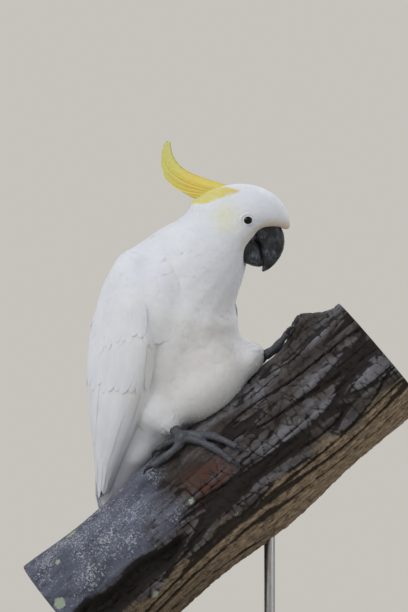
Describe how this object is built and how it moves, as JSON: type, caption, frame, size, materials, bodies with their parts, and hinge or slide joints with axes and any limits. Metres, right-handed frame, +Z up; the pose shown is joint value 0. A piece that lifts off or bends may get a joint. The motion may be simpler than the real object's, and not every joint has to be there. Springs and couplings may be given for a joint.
{
  "type": "sulphur-crested cockatoo",
  "caption": "Life-size still white cockatoo with a yellow crest, gripping a sloping cut branch on a plain rod stand.",
  "frame": {"origin": "centre of the display base's underside, on the floor", "axes": "+Z up, +X the way the head looks and the branch rises, -Y the side the chest is turned towards"},
  "size_m": [0.4417, 0.23, 0.6101],
  "materials": {
    "feathers": "soft white feathers",
    "crest": "yellow feathers",
    "bill": "dark grey horn with a powdery bloom",
    "foot_skin": "dark grey scaly skin",
    "claws": "black horn",
    "eyes": "wet black",
    "bark": "rough grey bark",
    "base": "dark satin lacquer",
    "rods": "brushed"
  },
  "bodies": {
    "root": {"bill_lower": "bill", "bill_upper": "bill", "claw_left_1": "claws", "claw_left_2": "claws", "claw_left_3": "claws", "claw_left_4": "claws", "claw_right_1": "claws", "claw_right_2": "claws", "claw_right_3": "claws", "claw_right_4": "claws", "crest": "crest", "eye_left": "eyes", "eye_right": "eyes", "foot_left": "foot_skin", "foot_right": "foot_skin", "head": "feathers", "neck": "feathers", "perch_branch": "bark", "stand_base": "base", "stand_rod_high": "rods", "stand_rod_low": "rods", "tail": "feathers", "thigh_left": "feathers", "thigh_right": "feathers", "trunk": "feathers", "wing_left": "feathers", "wing_right": "feathers"}
  },
  "joints": []
}
